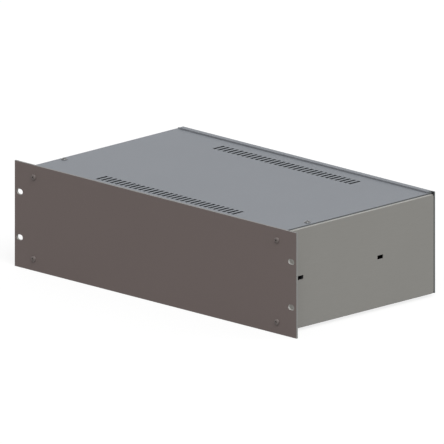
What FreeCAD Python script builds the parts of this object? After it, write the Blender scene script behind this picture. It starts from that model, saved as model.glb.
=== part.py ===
import FreeCAD, Part
import Sketcher
import math
import os

# Rack plug-in chassis: a 3U front panel with slotted ears, two folded side walls, a vented top
# cover, a base plate and a rear panel whose top lip holds the cover's rear edge down.
# Millimetres. +X runs along the front panel, -Y is the side of the front panel, +Z is up.
# The origin is at the middle of the chassis, level with the front panel's bottom edge.

SIZES = [
    ("panel_width", 482.6, "front panel, end to end"),
    ("panel_height", 132.5, "front panel, three rack units less the standard gap"),
    ("panel_sheet", 2.5, "front panel's thickness"),
    ("panel_edge_break", 0.3, "chamfer round the front panel's face"),
    ("ear_reach", 21.8, "ear, from the side wall's face to the front panel's end"),
    ("panel_overlap", 4.4, "front panel's edge, past the side walls above and below"),
    ("ear_slot_inset", 8.75, "ear slots, from the front panel's end"),
    ("ear_slot_rise", 57.15, "between the ear slots, bottom to top"),
    ("ear_slot_length", 10.3, "ear slot, end to end"),
    ("ear_slot_width", 6.8, "ear slot"),
    ("case_depth", 255.5, "side walls, front flange to rear flange"),
    ("side_sheet", 1.2, "side walls' thickness"),
    ("side_flange", 18.0, "width of the side walls' flanges"),
    ("side_bend", 0.5, "outside radius of the side walls' top and bottom bends"),
    ("side_end_bend", 1.5, "outside radius of the side walls' front and rear bends"),
    ("corner_relief", 0.8, "how far a corner notch clears the bends"),
    ("side_slot_length", 9.8, "slot in a side wall, end to end"),
    ("side_slot_width", 5.2, "slot in a side wall"),
    ("side_slot_corner", 0.8, "radius in the corners of a side wall's slot"),
    ("side_slot_front", 26.6, "front side slot, from the side wall's front"),
    ("side_slot_spacing", 136.5, "between the two side slots"),
    ("side_slot_lift", 0.75, "side slots, above the chassis's middle"),
    ("cover_inset", 4.0, "side edge of a cover, from the side wall's face"),
    ("cover_sheet", 1.5, "thickness of top cover and base plate"),
    ("cover_gap", 0.3, "between a cover's ends and the panels"),
    ("vent_count", 30, "slots in a row"),
    ("vent_pitch", 8.0, "between the slots of a row"),
    ("vent_length", 18.5, "vent slot, end to end"),
    ("vent_width", 4.0, "vent slot"),
    ("vent_front", 22.0, "front row of vents, from the side walls' front"),
    ("vent_rear", 33.4, "rear row of vents, from the side walls' rear"),
    ("rear_sheet", 1.5, "rear panel's thickness"),
    ("rear_bend", 0.5, "outside radius of the rear panel's bends"),
    ("lip_depth", 7.5, "rear panel's top lip, front to back"),
    ("lip_left_inset", 7.8, "left end of the top lip, from the side wall's face"),
    ("lip_right_inset", 5.6, "right end of the top lip, from the side wall's face"),
    ("lip_gap", 0.3, "between the top lip and the cover"),
    ("lip_slit", 1.0, "slit beside the end of a lip"),
    ("foot_depth", 15.0, "rear panel's bottom lip, front to back"),
    ("foot_gap", 1.0, "bottom lip, clear of the side walls' flanges"),
    ("screw_inset", 11.2, "screws, from the side walls' outer faces"),
    ("panel_screw_inset", 10.6, "screws of the panels, from the side walls' top and bottom"),
    ("cover_screw_inset", 49.5, "screws of the covers, from the side walls' front or rear"),
    ("shank_width", 4.0, "screw's thread, across"),
    ("shank_length", 8.0, "screw, under its head"),
    ("head_width", 7.6, "screw's head, across at its seat"),
    ("head_flat", 4.4, "screw's head, across at its top"),
    ("head_height", 2.2, "screw's head"),
    ("socket_width", 2.5, "hexagon socket, across its flats"),
    ("socket_depth", 1.3, "hexagon socket"),
    ("hole_clearance", 0.5, "screw's hole, wider than its thread"),
    ("nut_width", 7.0, "weld nut, across its flats"),
    ("nut_height", 3.2, "weld nut"),
    ("thread_fit", 0.1, "nut's bore, wider than the thread"),
]


class Size:
    """A length as a number, with the expression on the sheet that gives it."""

    def __init__(self, text, value):
        self.text = text
        self.value = value

    def __add__(self, other):
        return Size(f"({self.text} + {other.text})", self.value + other.value)

    def __sub__(self, other):
        return Size(f"({self.text} - {other.text})", self.value - other.value)

    def __mul__(self, factor):
        return Size(f"({self.text} * {factor})", self.value * factor)

    def __truediv__(self, divisor):
        return Size(f"({self.text} / {divisor})", self.value / divisor)

    def __neg__(self):
        return Size(f"(-{self.text})", -self.value)


doc = FreeCAD.newDocument("rack_chassis")
sheet = doc.addObject("Spreadsheet::Sheet", "sizes")
size = {}
for row, (alias, number, meaning) in enumerate(SIZES, start=1):
    sheet.set(f"A{row}", meaning)
    sheet.set(f"B{row}", str(number))
    sheet.setAlias(f"B{row}", alias)
    size[alias] = Size(f"sizes.{alias}", number)
doc.recompute()

ZERO = Size("0", 0.0)
LEFT = -1
RIGHT = 1
# Turns about X, in degrees, that point a fastener's own +Z the way its name says.
FACE_UP = 0
FACE_FRONT = 90
FACE_DOWN = 180
FACE_REAR = -90

# Levels and places that several pieces share.
half_panel = size["panel_width"] / 2
half_case = half_panel - size["ear_reach"]
middle_height = size["panel_height"] / 2
case_height = size["panel_height"] - size["panel_overlap"] * 2
case_bottom = size["panel_overlap"]
case_top = case_bottom + case_height
cover_top = case_top + size["cover_sheet"]
base_bottom = case_bottom - size["cover_sheet"]
lip_top = cover_top + size["lip_gap"] + size["rear_sheet"]
total_depth = size["panel_sheet"] + size["case_depth"] + size["rear_sheet"]
front_face = -total_depth / 2
rear_face = total_depth / 2
case_front = front_face + size["panel_sheet"]
case_rear = rear_face - size["rear_sheet"]
case_middle = case_front + size["case_depth"] / 2
screw_x = half_case - size["screw_inset"]
screw_span = screw_x * 2
screw_low = case_bottom + size["panel_screw_inset"]
screw_high = case_top - size["panel_screw_inset"]
screw_rise = screw_high - screw_low
front_screw_y = case_front + size["cover_screw_inset"]
rear_screw_y = case_rear - size["cover_screw_inset"]
screw_hole = size["shank_width"] + size["hole_clearance"]


def bind(thing, path, length):
    thing.setExpression(path, length.text)


def place(body, x, y, z, turn=0):
    """Bind a piece's position to the sheet, and turn it about its own X axis by turn degrees."""
    body.Placement = FreeCAD.Placement(
        FreeCAD.Vector(x.value, y.value, z.value),
        FreeCAD.Rotation(FreeCAD.Vector(1, 0, 0), turn),
    )
    bind(body, ".Placement.Base.x", x)
    bind(body, ".Placement.Base.y", y)
    bind(body, ".Placement.Base.z", z)


def new_body(name):
    body = doc.addObject("PartDesign::Body", name)
    body.Label = name
    return body


def origin_item(body, role):
    return next(item for item in body.Origin.OriginFeatures if item.Role == role)


def new_sketch(body, name, plane):
    sketch = body.newObject("Sketcher::SketchObject", name)
    sketch.AttachmentSupport = [(origin_item(body, plane), "")]
    sketch.MapMode = "FlatFace"
    return sketch


def constrain(sketch, kind, where, length):
    """Add one dimension to a sketch and bind it to the sheet."""
    index = sketch.addConstraint(Sketcher.Constraint(kind, *where, length.value))
    sketch.setExpression(f"Constraints[{index}]", length.text)


def fix_point(sketch, curve, end, x, y):
    """Hold a point of a curve at (x, y) in the sketch."""
    constrain(sketch, "DistanceX", (-1, 1, curve, end), x)
    constrain(sketch, "DistanceY", (-1, 1, curve, end), y)


def vector(x, y):
    return FreeCAD.Vector(x.value, y.value, 0)


def add_circle(sketch, x, y, width):
    upright = FreeCAD.Vector(0, 0, 1)
    curve = sketch.addGeometry(Part.Circle(vector(x, y), upright, width.value / 2))
    fix_point(sketch, curve, 3, x, y)
    constrain(sketch, "Diameter", (curve,), width)


def add_slot(sketch, x, y, length, width):
    """Add a slot with round ends, centred on (x, y), that runs across."""
    reach = (length - width) / 2
    radius = width / 2
    out = FreeCAD.Vector(0, 0, 1)
    arcs = []
    for side in (RIGHT, LEFT):
        centre_x = x + reach * side
        start = -math.pi / 2 * side
        circle = Part.Circle(vector(centre_x, y), out, radius.value)
        arc = sketch.addGeometry(Part.ArcOfCircle(circle, start, start + math.pi))
        fix_point(sketch, arc, 3, centre_x, y)
        arcs.append(arc)
    first, second = arcs
    for here, there in ((first, second), (second, first)):
        ends = (sketch.getPoint(here, 2), sketch.getPoint(there, 1))
        line = sketch.addGeometry(Part.LineSegment(*ends))
        sketch.addConstraint(Sketcher.Constraint("Tangent", here, 2, line, 1))
        sketch.addConstraint(Sketcher.Constraint("Tangent", line, 2, there, 1))
    sketch.addConstraint(Sketcher.Constraint("Equal", first, second))
    constrain(sketch, "Radius", (first,), radius)


def add_rectangle(sketch, x, y, width, height, corner_radius=None):
    """Add a rectangle, centred on (x, y), with square corners or round ones."""
    left, right = x - width / 2, x + width / 2
    low, high = y - height / 2, y + height / 2
    corners = [(left, low), (right, low), (right, high), (left, high)]
    if corner_radius:
        corners = [(*corner, corner_radius) for corner in corners]
    add_outline(sketch, corners)


def step_towards(corner, other, distance):
    """The point that lies a distance from a corner along the straight edge to another corner."""
    x, y = corner[:2]
    along_x = other[0].value - x.value
    along_y = other[1].value - y.value
    if abs(along_x) > abs(along_y):
        return x + distance * math.copysign(1, along_x), y
    return x, y + distance * math.copysign(1, along_y)


def add_line(sketch, start, end):
    return sketch.addGeometry(Part.LineSegment(vector(*start), vector(*end)))


def nearest_end(sketch, curve, point):
    """Which end of a curve, 1 or 2, lies at a point."""
    gaps = [(sketch.getPoint(curve, end) - vector(*point)).Length for end in (1, 2)]
    return 1 if gaps[0] <= gaps[1] else 2


def join(sketch, curves, points):
    """Close a chain of curves through its points and hold each point in place."""
    for index, curve in enumerate(curves):
        follower = curves[(index + 1) % len(curves)]
        target = points[(index + 1) % len(points)]
        end = nearest_end(sketch, curve, target)
        start = nearest_end(sketch, follower, target)
        sketch.addConstraint(Sketcher.Constraint("Coincident", curve, end, follower, start))
        fix_point(sketch, follower, start, *target)


def add_outline(sketch, corners):
    """Add a closed outline of straight edges. A corner is (x, y) or (x, y, radius of its bend)."""
    points = []
    bends = []
    for index, corner in enumerate(corners):
        before = corners[index - 1]
        after = corners[(index + 1) % len(corners)]
        if len(corner) == 2:
            points.append(corner)
            continue
        radius = corner[2]
        start = step_towards(corner, before, radius)
        end = step_towards(corner, after, radius)
        bends.append((len(points), radius, corner))
        points += [start, end]
    bend_at = {first: (radius, corner) for first, radius, corner in bends}
    curves = []
    for index, start in enumerate(points):
        end = points[(index + 1) % len(points)]
        if index not in bend_at:
            curves.append(add_line(sketch, start, end))
            continue
        radius, corner = bend_at[index]
        middle = arc_middle(start, end, corner)
        arc = Part.Arc(vector(*start), middle, vector(*end))
        curves.append(sketch.addGeometry(arc))
        constrain(sketch, "Radius", (curves[-1],), radius)
    join(sketch, curves, points)


def arc_middle(start, end, corner):
    """The middle point of the round bend that replaces a square corner."""
    sharp = vector(*corner[:2])
    centre = vector(*start) + vector(*end) - sharp
    return centre + (sharp - centre).normalize() * corner[2].value


def pad(body, sketch, length, symmetric=False):
    feature = body.newObject("PartDesign::Pad", f"{sketch.Name}_pad")
    feature.Profile = sketch
    feature.SideType = "Symmetric" if symmetric else "One side"
    feature.Length = length.value
    bind(feature, "Length", length)
    body.Tip = feature
    return feature


def pocket_through(body, sketch, both_ways=True):
    """Cut a sketch through everything on both sides of its plane, or only below it."""
    feature = body.newObject("PartDesign::Pocket", f"{sketch.Name}_pocket")
    feature.Profile = sketch
    feature.Type = "ThroughAll"
    feature.SideType = "Symmetric" if both_ways else "One side"
    body.Tip = feature
    return feature


def pattern(body, originals, runs):
    """Repeat features along one or two axes. A run is (axis, length of the run, count)."""
    feature = body.newObject("PartDesign::LinearPattern", f"{originals[0].Name}_pattern")
    feature.Originals = originals
    for suffix, (axis, length, count) in zip(("", "2"), runs):
        setattr(feature, f"Direction{suffix}", (origin_item(body, axis), [""]))
        setattr(feature, f"Mode{suffix}", "Extent")
        bind(feature, f"Length{suffix}", length)
        if isinstance(count, Size):
            bind(feature, f"Occurrences{suffix}", count)
        else:
            setattr(feature, f"Occurrences{suffix}", count)
    body.Tip = feature
    return feature


def make_front_panel():
    """A flat plate with open slots in its ears. The body's origin is on the plate's back."""
    body = new_body("front_panel")
    plate = new_sketch(body, "front_plate", "XZ_Plane")
    add_rectangle(plate, ZERO, ZERO, size["panel_width"], size["panel_height"])
    slab = pad(body, plate, size["panel_sheet"])
    doc.recompute()
    edges = front_edges(slab)
    edge_break = body.newObject("PartDesign::Chamfer", "front_edge_break")
    edge_break.Base = (slab, edges)
    bind(edge_break, "Size", size["panel_edge_break"])
    body.Tip = edge_break
    slots = new_sketch(body, "ear_slots", "XZ_Plane")
    for side in (LEFT, RIGHT):
        for level in (-1, 1):
            x = (half_panel - size["ear_slot_inset"]) * side
            y = size["ear_slot_rise"] / 2 * level
            add_slot(slots, x, y, size["ear_slot_length"], size["ear_slot_width"])
    pocket_through(body, slots)
    holes = new_sketch(body, "front_panel_holes", "XZ_Plane")
    add_panel_holes(holes, ZERO)
    pocket_through(body, holes)
    place(body, ZERO, case_front, middle_height)
    return body


def front_edges(slab):
    """The names of the four edges round the front of a plate."""
    shape = slab.Shape
    front = shape.BoundBox.YMin
    names = []
    for index, edge in enumerate(shape.Edges, start=1):
        box = edge.BoundBox
        if abs(box.YMin - front) < 1e-6 and abs(box.YMax - front) < 1e-6:
            names.append(f"Edge{index}")
    return names


def add_panel_holes(sketch, middle):
    """The holes for the screws that hold a panel, above and below its middle."""
    for side in (LEFT, RIGHT):
        for level in (-1, 1):
            add_circle(sketch, screw_x * side, middle + screw_rise / 2 * level, screw_hole)


def channel_corners(hand, half_length, bend):
    """A folded channel seen along its bends: the web at x = 0, the flanges folded inwards."""
    sheet_in = -size["side_sheet"] * hand
    reach = -size["side_flange"] * hand
    inner = half_length - size["side_sheet"]
    return [
        (reach, -half_length),
        (ZERO, -half_length, bend),
        (ZERO, half_length, bend),
        (reach, half_length),
        (reach, inner),
        (sheet_in, inner),
        (sheet_in, -inner),
        (reach, -inner),
    ]


def make_side_wall(name, hand):
    """A wall folded inwards on all four edges, with square notches where the folds would meet.

    The body's origin is in the middle of the wall's outer face.
    """
    body = new_body(name)
    notch = size["side_sheet"] + size["corner_relief"]
    half_depth = size["case_depth"] / 2
    lengthwise = new_sketch(body, f"{name}_top_bottom_folds", "XZ_Plane")
    add_outline(lengthwise, channel_corners(hand, case_height / 2, size["side_bend"]))
    pad(body, lengthwise, size["case_depth"] - notch * 2, symmetric=True)
    upright = new_sketch(body, f"{name}_front_rear_folds", "XY_Plane")
    add_outline(upright, channel_corners(hand, half_depth, size["side_end_bend"]))
    pad(body, upright, case_height - notch * 2, symmetric=True)

    slots = new_sketch(body, f"{name}_slots", "YZ_Plane")
    for step in (0, 1):
        along = size["side_slot_front"] + size["side_slot_spacing"] * step - half_depth
        lift = size["side_slot_lift"]
        length, width = size["side_slot_length"], size["side_slot_width"]
        add_rectangle(slots, along, lift, length, width, size["side_slot_corner"])
    pocket_through(body, slots)

    inset = -size["screw_inset"] * hand
    end_holes = new_sketch(body, f"{name}_end_holes", "XZ_Plane")
    for level in (-1, 1):
        add_circle(end_holes, inset, screw_rise / 2 * level, screw_hole)
    pocket_through(body, end_holes)
    from_middle = half_depth - size["cover_screw_inset"]
    cover_hole = new_sketch(body, f"{name}_cover_hole", "XY_Plane")
    add_circle(cover_hole, inset, -from_middle, screw_hole)
    pocket_through(body, cover_hole)
    base_hole = new_sketch(body, f"{name}_base_hole", "XY_Plane")
    add_circle(base_hole, inset, from_middle, screw_hole)
    pocket_through(body, base_hole, both_ways=False)
    place(body, half_case * hand, case_middle, middle_height)
    return body


def make_cover(name, level, screw_rows):
    """A flat plate with its screws' holes. The body's origin is on the plate's underside.

    A row of screws is named by its place, -1 for the front one and 1 for the rear one.
    """
    body = new_body(name)
    half_depth = size["case_depth"] / 2
    width = (half_case - size["cover_inset"]) * 2
    plate = new_sketch(body, f"{name}_plate", "XY_Plane")
    add_rectangle(plate, ZERO, ZERO, width, (half_depth - size["cover_gap"]) * 2)
    pad(body, plate, size["cover_sheet"])
    holes = new_sketch(body, f"{name}_holes", "XY_Plane")
    for side in (LEFT, RIGHT):
        for row in screw_rows:
            along = (half_depth - size["cover_screw_inset"]) * row
            add_circle(holes, screw_x * side, along, screw_hole)
    pocket_through(body, holes)
    place(body, ZERO, case_middle, level)
    return body


def cut_vents(body):
    """Cut a front row and a rear row of vent slots through the top cover."""
    row_length = vent_row_length()
    half_depth = size["case_depth"] / 2
    first_vents = new_sketch(body, "first_vents", "XY_Plane")
    for along in (size["vent_front"] - half_depth, half_depth - size["vent_rear"]):
        add_rectangle(first_vents, -row_length / 2, along, size["vent_width"], size["vent_length"])
    vents = pocket_through(body, first_vents)
    pattern(body, [vents], [("X_Axis", row_length, size["vent_count"])])


def vent_row_length():
    """From the first slot's middle to the last slot's."""
    pitch = size["vent_pitch"]
    count = size["vent_count"]
    return Size(f"({pitch.text} * ({count.text} - 1))", pitch.value * (count.value - 1))


def make_rear_panel():
    """A plate with a lip folded over the cover's rear edge and a lip folded in at the bottom.

    Beside the top lip the plate rises to the lip's level on the right, and is cut down on the
    left. The body's origin is on the plate's outer face, level with its bottom edge.
    """
    body = new_body("rear_panel")
    plate_height = lip_top - case_bottom
    lip_left = size["lip_left_inset"] - half_case
    lip_right = half_case - size["lip_right_inset"]
    tab_start = lip_right + size["lip_slit"]
    foot_end = half_case - size["side_flange"] - size["foot_gap"]
    foot_notch = foot_end + size["lip_slit"]
    fold = fold_height()
    plate = new_sketch(body, "rear_plate", "XZ_Plane")
    add_outline(plate, [
        (-foot_notch, fold),
        (foot_notch, fold),
        (foot_notch, ZERO),
        (half_case, ZERO),
        (half_case, plate_height),
        (tab_start, plate_height),
        (tab_start, plate_height - fold),
        (-half_case, plate_height - fold),
        (-half_case, ZERO),
        (-foot_notch, ZERO),
    ])
    pad(body, plate, size["rear_sheet"])
    make_lip(body, "top_lip", plate_height, -1, size["lip_depth"], lip_left, lip_right)
    make_lip(body, "bottom_lip", ZERO, 1, size["foot_depth"], -foot_end, foot_end)
    holes = new_sketch(body, "rear_panel_holes", "XZ_Plane")
    add_panel_holes(holes, case_height / 2)
    pocket_through(body, holes)
    place(body, ZERO, rear_face, case_bottom)
    return body


def fold_height():
    """How far the slits beside a lip reach into the rear plate: past the bend."""
    return size["rear_sheet"] + size["lip_slit"]


def make_lip(body, name, level, inwards, depth, left, right):
    """Fold a lip forwards from the plate's edge at a level. Inwards is the way to the plate."""
    root = level + fold_height() * inwards
    inner = level + size["rear_sheet"] * inwards
    lip = new_sketch(body, name, "YZ_Plane")
    bind(lip, ".AttachmentOffset.Base.z", (left + right) / 2)
    add_outline(lip, [
        (ZERO, root),
        (ZERO, level, size["rear_bend"]),
        (-depth, level),
        (-depth, inner),
        (-size["rear_sheet"], inner),
        (-size["rear_sheet"], root),
    ])
    pad(body, lip, right - left, symmetric=True)


def make_screws(name, x, y, z, turn, runs):
    """Socket-head screws, the heads towards the body's own +Z.

    The first screw's axis is the body's Z axis, and its head sits on the body's XY plane.
    """
    body = new_body(name)
    shank = size["shank_width"] / 2
    profile = new_sketch(body, f"{name}_profile", "XZ_Plane")
    add_outline(profile, [
        (ZERO, -size["shank_length"]),
        (shank, -size["shank_length"]),
        (shank, ZERO),
        (size["head_width"] / 2, ZERO),
        (size["head_flat"] / 2, size["head_height"]),
        (ZERO, size["head_height"]),
    ])
    turned = body.newObject("PartDesign::Revolution", f"{name}_turned")
    turned.Profile = profile
    turned.ReferenceAxis = (origin_item(body, "Z_Axis"), [""])
    turned.Angle = 360
    socket = new_sketch(body, f"{name}_socket", "XY_Plane")
    bind(socket, ".AttachmentOffset.Base.z", size["head_height"])
    add_hexagon(socket, size["socket_width"])
    recess = body.newObject("PartDesign::Pocket", f"{name}_recess")
    recess.Profile = socket
    bind(recess, "Length", size["socket_depth"])
    pattern(body, [turned, recess], runs)
    place(body, x, y, z, turn)
    return body


def add_hexagon(sketch, across_flats):
    """A hexagon about the sketch's origin, with two of its sides upright."""
    apothem = across_flats / 2
    half_side = apothem * (1 / math.sqrt(3))
    turns = [(1, -1), (1, 1), (0, 2), (-1, 1), (-1, -1), (0, -2)]
    add_outline(sketch, [(apothem * across, half_side * along) for across, along in turns])


def make_nuts(name, x, y, z, turn, runs=()):
    """Hexagon nuts on the body's XY plane. The first nut's axis is the body's Z axis."""
    body = new_body(name)
    outline = new_sketch(body, f"{name}_outline", "XY_Plane")
    add_hexagon(outline, size["nut_width"])
    prism = pad(body, outline, size["nut_height"])
    bore = new_sketch(body, f"{name}_bore", "XY_Plane")
    add_circle(bore, ZERO, ZERO, size["shank_width"] + size["thread_fit"])
    drilled = pocket_through(body, bore)
    if runs:
        pattern(body, [prism, drilled], runs)
    place(body, x, y, z, turn)
    return body


def make_fasteners():
    """The screws of each panel, and the nuts welded inside each side wall's flanges."""
    across = ("X_Axis", screw_span, 2)
    panel_rise = ("Y_Axis", screw_rise, 2)
    base_run = ("Y_Axis", rear_screw_y - front_screw_y, 2)
    left = -screw_x
    make_screws("front_panel_screws", left, front_face, screw_low, FACE_FRONT, [across, panel_rise])
    make_screws("rear_panel_screws", left, rear_face, screw_high, FACE_REAR, [across, panel_rise])
    make_screws("top_cover_screws", left, front_screw_y, cover_top, FACE_UP, [across])
    make_screws("base_plate_screws", left, rear_screw_y, base_bottom, FACE_DOWN, [across, base_run])

    sheet_in = size["side_sheet"]
    for side, x in (("left", left), ("right", screw_x)):
        front = case_front + sheet_in
        rear = case_rear - sheet_in
        make_nuts(f"{side}_front_nuts", x, front, screw_high, FACE_REAR, [panel_rise])
        make_nuts(f"{side}_rear_nuts", x, rear, screw_low, FACE_FRONT, [panel_rise])
        make_nuts(f"{side}_top_nut", x, front_screw_y, case_top - sheet_in, FACE_DOWN)
        make_nuts(f"{side}_bottom_nuts", x, front_screw_y, case_bottom + sheet_in, FACE_UP, [base_run])


def check_and_write():
    """Stop on any failed feature, then write each piece to its own file."""
    doc.recompute()
    for item in doc.Objects:
        if "Invalid" in item.State or "Error" in item.State:
            raise RuntimeError(f"{item.Name} failed: {item.State}")
    bodies = [item for item in doc.Objects if item.TypeId == "PartDesign::Body"]
    for body in bodies:
        if body.Shape.isNull() or not body.Shape.isValid():
            raise RuntimeError(f"{body.Label} has no valid shape")
    os.makedirs("parts", exist_ok=True)
    for body in bodies:
        body.Shape.exportStep(f"parts/{body.Label}.step")
        print(body.Label, len(body.Shape.Solids), round(body.Shape.Volume, 1))


make_front_panel()
make_side_wall("left_side_wall", LEFT)
make_side_wall("right_side_wall", RIGHT)
cut_vents(make_cover("top_cover", case_top, screw_rows=[-1]))
make_cover("base_plate", base_bottom, screw_rows=[-1, 1])
make_rear_panel()
make_fasteners()
check_and_write()
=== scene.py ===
import math

import bmesh
import bpy
from mathutils import Matrix, Vector


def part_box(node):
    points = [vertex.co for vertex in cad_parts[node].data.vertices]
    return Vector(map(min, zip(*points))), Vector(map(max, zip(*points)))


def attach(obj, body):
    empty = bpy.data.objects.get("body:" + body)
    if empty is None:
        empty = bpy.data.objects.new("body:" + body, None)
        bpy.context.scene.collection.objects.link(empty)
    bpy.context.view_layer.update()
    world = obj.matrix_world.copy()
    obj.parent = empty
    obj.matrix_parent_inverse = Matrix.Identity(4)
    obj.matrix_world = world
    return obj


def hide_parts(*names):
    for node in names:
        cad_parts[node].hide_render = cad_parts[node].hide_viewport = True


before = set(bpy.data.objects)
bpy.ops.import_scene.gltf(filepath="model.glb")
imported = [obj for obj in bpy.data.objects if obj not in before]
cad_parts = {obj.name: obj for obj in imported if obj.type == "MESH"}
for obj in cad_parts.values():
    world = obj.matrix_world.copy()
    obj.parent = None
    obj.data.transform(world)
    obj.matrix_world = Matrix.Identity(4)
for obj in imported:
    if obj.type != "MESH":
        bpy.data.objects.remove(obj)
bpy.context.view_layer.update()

# Millimetres are written with this factor, because the scene is in metres.
MM = 0.001

# The photograph is a parallel view from the front right, a little above.
CAMERA_AZIMUTH = math.radians(45)
CAMERA_ELEVATION = math.radians(15)
CAMERA_DISTANCE = 2.0
CAMERA_CLIP = 20.0
PICTURE_WIDTH = 537.7 * MM
# From the front panel's bottom right corner to the middle of the picture.
PICTURE_RIGHT = -90.05 * MM
PICTURE_UP = 141.45 * MM

# Each lamp's name, the way towards it, its strength, and its width in degrees.
LAMPS = (
    ("key", (0.45, -0.25, 0.65), 2.0, 40),
    ("fill", (-0.9, 0.35, 0.5), 0.45, 60),
    ("rim", (0.6, 0.7, 0.35), 0.6, 25),
)
WHITE = (1, 1, 1, 1)
# The sky's strength as a light, and as the background that is seen.
SKY_LIGHT = 0.42
SKY_SHOWN = 1.0
# From the middle of the floor to its sides.
FLOOR_REACH = 6.0
FLOOR_SEEN_BY_OBJECT = (0.35, 0.35, 0.35)
# Looked at, the floor reflects little and glows the rest of the way to white, so that the
# shadow on it is faint.
FLOOR_LOOKED_AT = (0.20, 0.20, 0.20)
FLOOR_GLOW = 0.82

# Base colours, in linear light.
PANEL_COAT = (0.183, 0.1475, 0.1385)
BARE_ALUMINIUM = (0.205, 0.200, 0.195)
# Painted light: the panel's bare ends are paler than its top and bottom edges.
PANEL_END_PAINTED_LIGHT = (0.26, 0.26, 0.25)
# Painted highlight: the walls of the panel's slots are paler than its bare outer edges.
SLOT_WALL_PAINTED_HIGHLIGHT = (0.43, 0.43, 0.41)
SIDE_ALUMINIUM = (0.255, 0.250, 0.233)
# Painted highlight: the side walls' level flanges are paler than their upright faces.
FLANGE_PAINTED_HIGHLIGHT = (0.385, 0.380, 0.362)
COVER_GREY = (0.206, 0.219, 0.240)
# Painted shade: the covers' cut ends are darker than their broad faces.
COVER_EDGE_PAINTED_SHADE = (0.112, 0.120, 0.126)
# Painted shade: the vents' walls are near black.
VENT_WALL_PAINTED_SHADE = (0.038, 0.043, 0.047)
# Painted shade: the rear panel's cut ends are duller than its broad faces.
REAR_END_PAINTED_SHADE = (0.175, 0.187, 0.184)
# Painted shade: the rear panel's inner face is near black where it shows.
REAR_INSIDE_PAINTED_SHADE = (0.055, 0.057, 0.058)
# Painted light: the lips' front edges are paler than the rest of the sheet.
LIP_EDGE_PAINTED_LIGHT = (0.270, 0.280, 0.300)
ZINC = (0.30, 0.295, 0.285)
DARK_STEEL = (0.148, 0.124, 0.117)
PLATED_STEEL = (0.138, 0.140, 0.142)

# Scales of the noise in the materials, along X, Y and Z, in cycles per metre.
SIDE_GRAIN = (40.0, 60.0, 2200.0)
COVER_GRAIN = (60.0, 2200.0, 2200.0)
SHEET_CLOUDS = (9.0, 9.0, 9.0)
COAT_GRAIN = (1400.0, 1400.0, 1400.0)
COAT_CLOUDS = (6.0, 6.0, 6.0)
MILLING_MARKS = (120.0, 5000.0, 120.0)
STEEL_MOTTLE = (900.0, 900.0, 900.0)
# The range that nearly all of a noise lies in.
NOISE_LOW = 0.3
NOISE_HIGH = 0.7
CLOUDINESS = 0.01
ROUGHNESS_SWING = 0.05
BUMP_STRENGTH = 0.25
COAT_GLOSS = 0.25
SIDE_GLOSS = 0.25
COVER_GLOSS = 0.1
# A surface faces along an axis where this much of its normal, or more, lies along it.
FACING_LIMIT = 0.9
# What is nearer than this to the front panel's outline is an outer edge, and no slot's wall.
EDGE_MARGIN = 1.0 * MM
# The vents lie nearer than this to a cover's middle, left to right, and its cut ends further out.
VENTED_REACH = 200.0 * MM
# Forward from the rear panel's back, past the first of these lies its inner face, and past the
# second lie its lips' front edges.
INNER_FACE_FROM = 0.75 * MM
LIP_EDGES_FROM = 4.0 * MM

COVER_NODES = ("top_cover", "base_plate")
SIDE_NODES = ("left_side_wall", "right_side_wall")
# The screws of each panel, with the way their heads face.
SCREW_NODES = {
    "front_panel_screws": (0, -1, 0),
    "rear_panel_screws": (0, 1, 0),
    "top_cover_screws": (0, 0, 1),
    "base_plate_screws": (0, 0, -1),
}
# A screw's sizes, the same as in the solids but for the dome of its head.
SHANK_WIDTH = 4.0 * MM
SHANK_LENGTH = 8.0 * MM
TIP_CHAMFER = 0.4 * MM
HEAD_WIDTH = 7.6 * MM
HEAD_HEIGHT = 2.2 * MM
HEAD_RIM = 0.25 * MM
HEAD_FLAT = 3.4 * MM
SOCKET_WIDTH = 2.5 * MM
SOCKET_DEPTH = 1.3 * MM
SOCKET_CHAMFER = 0.1 * MM
# Points round a screw, a multiple of a hexagon's corners, and rings from the rim to the flat.
RING_POINTS = 48
DOME_STEPS = 8
HEXAGON_STEP = math.tau / 6
SHARP_EDGE = math.radians(35)
# Points of a solid that are nearer than this are one.
SAME_POINT = 0.001 * MM


def new_material(name):
    """A material with an empty node tree but for its output and its shader."""
    material = bpy.data.materials.new(name)
    material.use_nodes = True
    tree = material.node_tree
    shader = tree.nodes["Principled BSDF"]
    return material, tree, shader


def add_node(tree, kind, **settings):
    """A new node of a kind, with its settings."""
    node = tree.nodes.new(kind)
    for key, value in settings.items():
        setattr(node, key, value)
    return node


def feed(tree, socket, value):
    """Give a socket what another node puts out, or else a plain value."""
    if isinstance(value, bpy.types.NodeSocket):
        tree.links.new(value, socket)
    else:
        socket.default_value = value


def calculate(tree, operation, *terms):
    """The result of an operation on numbers, or on what other nodes put out."""
    node = add_node(tree, "ShaderNodeMath", operation=operation)
    for socket, term in zip(node.inputs, terms):
        feed(tree, socket, term)
    return node.outputs[0]


def coordinates(tree, kind):
    """The parts along X, Y and Z of a point or a normal, in the object's own space."""
    place = add_node(tree, "ShaderNodeTexCoord")
    parts = add_node(tree, "ShaderNodeSeparateXYZ")
    tree.links.new(place.outputs[kind], parts.inputs[0])
    return parts.outputs


def noise(tree, scale, detail=2.0):
    """Soft noise from 0 to 1, at a scale for each axis in cycles per metre."""
    place = add_node(tree, "ShaderNodeTexCoord")
    stretch = add_node(tree, "ShaderNodeVectorMath", operation="MULTIPLY")
    stretch.inputs[1].default_value = scale
    tree.links.new(place.outputs["Object"], stretch.inputs[0])
    texture = add_node(tree, "ShaderNodeTexNoise")
    texture.inputs["Scale"].default_value = 1.0
    texture.inputs["Detail"].default_value = detail
    tree.links.new(stretch.outputs[0], texture.inputs["Vector"])
    return texture.outputs["Fac"]


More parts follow.
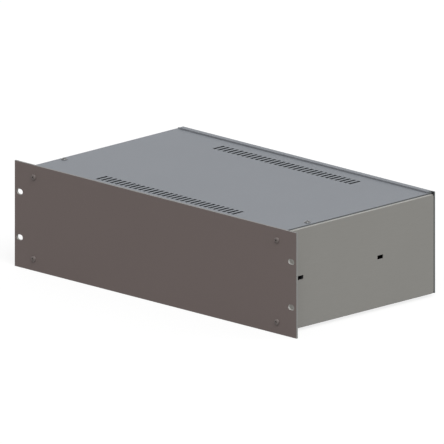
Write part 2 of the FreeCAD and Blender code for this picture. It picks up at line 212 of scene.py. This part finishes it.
def spread(tree, pattern, middle, swing):
    """Map a noise to the range within a swing of a middle value."""
    mapped = add_node(tree, "ShaderNodeMapRange")
    mapped.inputs["From Min"].default_value = NOISE_LOW
    mapped.inputs["From Max"].default_value = NOISE_HIGH
    mapped.inputs["To Min"].default_value = middle - swing
    mapped.inputs["To Max"].default_value = middle + swing
    tree.links.new(pattern, mapped.inputs["Value"])
    return mapped.outputs["Result"]


def vary(tree, color, pattern, swing):
    """A colour made lighter and darker by a noise, by as much as a share of it each way."""
    scaled = add_node(tree, "ShaderNodeVectorMath", operation="SCALE")
    feed(tree, scaled.inputs[0], color)
    tree.links.new(spread(tree, pattern, 1.0, swing), scaled.inputs["Scale"])
    return scaled.outputs[0]


def mix_colors(tree, mask, where_zero, where_one):
    """One colour where a mask is 0 and another where it is 1."""
    mixed = add_node(tree, "ShaderNodeMix", data_type="RGBA")
    # The node has sockets for other kinds of data too, under the same names.
    sockets = [s for s in mixed.inputs if s.type == "RGBA"]
    for socket, color in zip(sockets, (where_zero, where_one)):
        feed(tree, socket, (*color, 1.0) if isinstance(color, tuple) else color)
    tree.links.new(mask, mixed.inputs["Factor"])
    return next(s for s in mixed.outputs if s.type == "RGBA")


def add_grain(tree, shader, grain, roughness, depth):
    """Roughness that varies with the grain, and a shallow bump along it."""
    tree.links.new(spread(tree, grain, roughness, ROUGHNESS_SWING), shader.inputs["Roughness"])
    bump = add_node(tree, "ShaderNodeBump")
    bump.inputs["Strength"].default_value = BUMP_STRENGTH
    bump.inputs["Distance"].default_value = depth
    tree.links.new(grain, bump.inputs["Height"])
    tree.links.new(bump.outputs["Normal"], shader.inputs["Normal"])


def facing(tree, axis):
    """1 where a surface faces along an axis of the object, either way, and 0 elsewhere."""
    size = calculate(tree, "ABSOLUTE", coordinates(tree, "Normal")[axis])
    return calculate(tree, "GREATER_THAN", size, FACING_LIMIT)


def nearer_than(tree, reach):
    """1 where a surface is nearer than a reach to the middle of the object, left to right."""
    across = calculate(tree, "ABSOLUTE", coordinates(tree, "Object")["X"])
    return calculate(tree, "LESS_THAN", across, reach)


def painted_highlight_slot_walls(tree):
    """1 inside the front panel's outline, where the slot walls get a painted highlight, and 0 on its
    outer edges.
    """
    low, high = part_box("front_panel")
    lift = coordinates(tree, "Object")["Z"]
    above = calculate(tree, "GREATER_THAN", lift, low.z + EDGE_MARGIN)
    below = calculate(tree, "LESS_THAN", lift, high.z - EDGE_MARGIN)
    between = calculate(tree, "MULTIPLY", above, below)
    return calculate(tree, "MULTIPLY", between, nearer_than(tree, high.x - EDGE_MARGIN))


def cover_color(tree):
    """Grey on the broad faces, with painted shade that makes the cut ends darker and the vents'
    walls darkest.
    """
    # Painted shade darkens the cut ends, and the vents' walls more.
    edge = mix_colors(tree, nearer_than(tree, VENTED_REACH), COVER_EDGE_PAINTED_SHADE, VENT_WALL_PAINTED_SHADE)
    return mix_colors(tree, facing(tree, "Z"), edge, COVER_GREY)


def side_color(tree):
    """Bare sheet, with a painted highlight that makes the level flanges paler."""
    # Painted highlight: what faces up or down is paler.
    return mix_colors(tree, facing(tree, "Z"), SIDE_ALUMINIUM, FLANGE_PAINTED_HIGHLIGHT)


def rear_color(tree):
    """Grey like the covers, with painted shade that dulls the cut ends and darkens the inside, and
    painted light on the lips' front edges.
    """
    _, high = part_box("rear_panel")
    along = coordinates(tree, "Object")["Y"]
    # Painted shade: the cut ends that face sideways are duller.
    color = mix_colors(tree, facing(tree, "X"), COVER_GREY, REAR_END_PAINTED_SHADE)
    # Painted shade darkens the inner face, and painted light makes the lips' front edges pale.
    for depth, inner_color in ((INNER_FACE_FROM, REAR_INSIDE_PAINTED_SHADE), (LIP_EDGES_FROM, LIP_EDGE_PAINTED_LIGHT)):
        forward = calculate(tree, "LESS_THAN", along, high.y - depth)
        inner = calculate(tree, "MULTIPLY", forward, facing(tree, "Y"))
        color = mix_colors(tree, inner, color, inner_color)
    return color


def sheet_metal(name, pick_color, grain_scale, roughness, gloss):
    """Satin sheet: fine rolling grain, faint cloudiness, and roughness that follows the grain."""
    material, tree, shader = new_material(name)
    grain = noise(tree, grain_scale, detail=3.0)
    streaked = vary(tree, pick_color(tree), grain, swing=0.025)
    clouded = vary(tree, streaked, noise(tree, SHEET_CLOUDS), CLOUDINESS)
    tree.links.new(clouded, shader.inputs["Base Color"])
    shader.inputs["Specular IOR Level"].default_value = gloss
    add_grain(tree, shader, grain, roughness, depth=0.02 * MM)
    return material


def coated_panel(name):
    """Fine matt coat on the broad faces, bare milled aluminium on the edges and slots; the ends and
    slot walls are painted paler as painted light.
    """
    material, tree, shader = new_material(name)
    grain = noise(tree, COAT_GRAIN, detail=3.0)
    coat = vary(tree, PANEL_COAT, grain, swing=0.03)
    coat = vary(tree, coat, noise(tree, COAT_CLOUDS), CLOUDINESS)
    # Painted light: ends that face sideways are paler than the top and bottom edges.
    outer = mix_colors(tree, facing(tree, "X"), BARE_ALUMINIUM, PANEL_END_PAINTED_LIGHT)
    # Painted highlight: the slots' walls are paler still.
    bare = mix_colors(tree, painted_highlight_slot_walls(tree), outer, SLOT_WALL_PAINTED_HIGHLIGHT)
    bare = vary(tree, bare, noise(tree, MILLING_MARKS), swing=0.04)
    seen = mix_colors(tree, facing(tree, "Y"), bare, coat)
    tree.links.new(seen, shader.inputs["Base Color"])
    shader.inputs["Specular IOR Level"].default_value = COAT_GLOSS
    add_grain(tree, shader, grain, roughness=0.55, depth=0.01 * MM)
    return material


def steel(name, color, metallic, roughness):
    """Plated or blackened steel with a faint mottle."""
    material, tree, shader = new_material(name)
    mottle = noise(tree, STEEL_MOTTLE, detail=4.0)
    tree.links.new(vary(tree, color, mottle, swing=0.1), shader.inputs["Base Color"])
    shader.inputs["Metallic"].default_value = metallic
    add_grain(tree, shader, mottle, roughness, depth=0.01 * MM)
    return material


def dress(node, material):
    """Give a CAD node its material."""
    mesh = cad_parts[node].data
    mesh.materials.clear()
    mesh.materials.append(material)


def dress_sheets():
    """Give each sheet its material."""
    dress("front_panel", coated_panel("panel_coat"))
    side = sheet_metal("side_aluminium", side_color, SIDE_GRAIN, roughness=0.5, gloss=SIDE_GLOSS)
    for node in SIDE_NODES:
        dress(node, side)
    covers = {"grain_scale": COVER_GRAIN, "roughness": 0.55, "gloss": COVER_GLOSS}
    cover = sheet_metal("cover_sheet", cover_color, **covers)
    for node in COVER_NODES:
        dress(node, cover)
    dress("rear_panel", sheet_metal("rear_sheet", rear_color, **covers))


def dress_nuts():
    """Give each weld nut its zinc."""
    zinc = steel("zinc_plate", ZINC, metallic=0.5, roughness=0.35)
    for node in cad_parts:
        if node.endswith(("_nut", "_nuts")):
            dress(node, zinc)


def ring(radius, height, across_flats=False):
    """Points round the Z axis: a circle, or a hexagon whose radius is half its width."""
    points = []
    for step in range(RING_POINTS):
        angle = math.tau * step / RING_POINTS
        reach = radius
        if across_flats:
            # A side is nearest in its middle and furthest at its corners.
            reach /= math.cos(angle % HEXAGON_STEP - HEXAGON_STEP / 2)
        points.append(Vector((reach * math.cos(angle), reach * math.sin(angle), height)))
    return points


def dome_rings():
    """A quarter ellipse from the rim of a screw's head, which stops at the flat round its socket."""
    radius = HEAD_WIDTH / 2
    last = math.acos(HEAD_FLAT / HEAD_WIDTH)
    rings = []
    for step in range(1, DOME_STEPS + 1):
        angle = last * step / DOME_STEPS
        rise = (HEAD_HEIGHT - HEAD_RIM) * math.sin(angle) / math.sin(last)
        rings.append(ring(radius * math.cos(angle), HEAD_RIM + rise))
    return rings


def button_head_rings():
    """The surface of a button-head screw from the end of its shank to the bottom of its socket."""
    shank = SHANK_WIDTH / 2
    head = HEAD_WIDTH / 2
    flats = SOCKET_WIDTH / 2
    return [
        ring(shank - TIP_CHAMFER, -SHANK_LENGTH),
        ring(shank, -SHANK_LENGTH + TIP_CHAMFER),
        ring(shank, 0),
        ring(head, 0),
        ring(head, HEAD_RIM),
        *dome_rings(),
        ring(flats + SOCKET_CHAMFER, HEAD_HEIGHT, across_flats=True),
        ring(flats, HEAD_HEIGHT - SOCKET_CHAMFER, across_flats=True),
        ring(flats, HEAD_HEIGHT - SOCKET_DEPTH, across_flats=True),
    ]


def add_screw(mesh, place):
    """Add one screw to a mesh, its axis and seat given by a matrix."""
    rows = []
    for points in button_head_rings():
        rows.append([mesh.verts.new(place @ point) for point in points])
    for low, high in zip(rows, rows[1:]):
        for step in range(RING_POINTS):
            after = (step + 1) % RING_POINTS
            mesh.faces.new((low[step], low[after], high[after], high[step]))
    mesh.faces.new(reversed(rows[0]))
    mesh.faces.new(rows[-1])


def solid_centres(node):
    """The middle of the box round each separate solid of a CAD node, in the same order each run."""
    mesh = bmesh.new()
    mesh.from_mesh(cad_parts[node].data)
    bmesh.ops.remove_doubles(mesh, verts=mesh.verts, dist=SAME_POINT)
    unseen = set(mesh.verts)
    centres = []
    while unseen:
        group = [unseen.pop()]
        # The group grows while it is gone through.
        for vert in group:
            for edge in vert.link_edges:
                other = edge.other_vert(vert)
                if other in unseen:
                    unseen.remove(other)
                    group.append(other)
        low = Vector(min(v.co[axis] for v in group) for axis in range(3))
        high = Vector(max(v.co[axis] for v in group) for axis in range(3))
        centres.append((low + high) / 2)
    mesh.free()
    return sorted(centres, key=tuple)


def make_screws(node, outwards, material):
    """Button-head socket screws in place of a node's screws, their heads outwards."""
    mesh = bmesh.new()
    outwards = Vector(outwards)
    turn = Vector((0, 0, 1)).rotation_difference(outwards).to_matrix().to_4x4()
    # A screw's middle is halfway between the end of its shank and the top of its head.
    middle_to_seat = outwards * (SHANK_LENGTH - HEAD_HEIGHT) / 2
    for centre in solid_centres(node):
        add_screw(mesh, Matrix.Translation(centre + middle_to_seat) @ turn)
    data = bpy.data.meshes.new(f"{node}_detail")
    mesh.to_mesh(data)
    mesh.free()
    data.shade_smooth()
    data.set_sharp_from_angle(angle=SHARP_EDGE)
    data.materials.append(material)
    piece = bpy.data.objects.new(f"{node}_detail", data)
    bpy.context.scene.collection.objects.link(piece)
    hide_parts(node)
    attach(piece, "root")


def make_all_screws():
    """Blackened screws on the front panel, and plated ones elsewhere."""
    dark = steel("dark_steel", DARK_STEEL, metallic=0.15, roughness=0.5)
    plated = steel("plated_steel", PLATED_STEEL, metallic=0.6, roughness=0.22)
    for node, outwards in SCREW_NODES.items():
        make_screws(node, outwards, dark if node == "front_panel_screws" else plated)


def seen_directly(tree):
    """1 for rays from the camera, and for those that metal or glass sends on."""
    path = add_node(tree, "ShaderNodeLightPath")
    direct = path.outputs["Is Camera Ray"]
    for other in ("Is Glossy Ray", "Is Transmission Ray"):
        direct = calculate(tree, "MAXIMUM", direct, path.outputs[other])
    return direct


def make_floor():
    """A plain white floor with the object's soft shadow on it.

    It shows as white, and gives the object less light than white would.
    """
    mesh = bpy.data.meshes.new("floor")
    corners = [
        (-FLOOR_REACH, -FLOOR_REACH, 0),
        (FLOOR_REACH, -FLOOR_REACH, 0),
        (FLOOR_REACH, FLOOR_REACH, 0),
        (-FLOOR_REACH, FLOOR_REACH, 0),
    ]
    mesh.from_pydata(corners, [], [(0, 1, 2, 3)])
    floor = bpy.data.objects.new("floor", mesh)
    bpy.context.scene.collection.objects.link(floor)
    material, tree, shader = new_material("floor")
    shader.inputs["Roughness"].default_value = 1.0
    shader.inputs["Specular IOR Level"].default_value = 0.0
    direct = seen_directly(tree)
    seen = mix_colors(tree, direct, FLOOR_SEEN_BY_OBJECT, FLOOR_LOOKED_AT)
    tree.links.new(seen, shader.inputs["Base Color"])
    shader.inputs["Emission Color"].default_value = WHITE
    glow = calculate(tree, "MULTIPLY", direct, FLOOR_GLOW)
    tree.links.new(glow, shader.inputs["Emission Strength"])
    mesh.materials.append(material)


def make_world():
    """An even pale sky that lights the object softly and shows as white behind it."""
    world = bpy.data.worlds.new("studio")
    bpy.context.scene.world = world
    world.use_nodes = True
    tree = world.node_tree
    tree.nodes.clear()
    output = add_node(tree, "ShaderNodeOutputWorld")
    mixed = add_node(tree, "ShaderNodeMixShader")
    tree.links.new(seen_directly(tree), mixed.inputs[0])
    for socket, strength in zip(mixed.inputs[1:], (SKY_LIGHT, SKY_SHOWN)):
        sky = add_node(tree, "ShaderNodeBackground")
        sky.inputs["Color"].default_value = WHITE
        sky.inputs["Strength"].default_value = strength
        tree.links.new(sky.outputs[0], socket)
    tree.links.new(mixed.outputs[0], output.inputs[0])


def make_lights():
    """Soft distant lamps that shine from their directions."""
    for name, towards, strength, width in LAMPS:
        lamp = bpy.data.lights.new(name, "SUN")
        lamp.energy = strength
        lamp.angle = math.radians(width)
        sun = bpy.data.objects.new(name, lamp)
        sun.rotation_euler = Vector(towards).to_track_quat("Z", "Y").to_euler()
        bpy.context.scene.collection.objects.link(sun)


def make_camera():
    """A parallel camera at the photograph's angle, framed from the front panel's corner."""
    low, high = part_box("front_panel")
    corner = Vector((high.x, low.y, low.z))
    sine, cosine = math.sin(CAMERA_ELEVATION), math.cos(CAMERA_ELEVATION)
    east, north = math.sin(CAMERA_AZIMUTH), math.cos(CAMERA_AZIMUTH)
    right = Vector((north, east, 0))
    back = Vector((east * cosine, -north * cosine, sine))
    up = back.cross(right)
    target = corner + right * PICTURE_RIGHT + up * PICTURE_UP
    data = bpy.data.cameras.new("camera")
    data.type = "ORTHO"
    data.ortho_scale = PICTURE_WIDTH
    data.clip_end = CAMERA_CLIP
    camera = bpy.data.objects.new("camera", data)
    turn = Matrix((right, up, back)).transposed().to_4x4()
    camera.matrix_world = Matrix.Translation(target + back * CAMERA_DISTANCE) @ turn
    bpy.context.scene.collection.objects.link(camera)
    bpy.context.scene.camera = camera


make_camera()
make_world()
make_lights()
make_floor()
dress_sheets()
dress_nuts()
make_all_screws()
bpy.context.scene.view_settings.view_transform = "Standard"
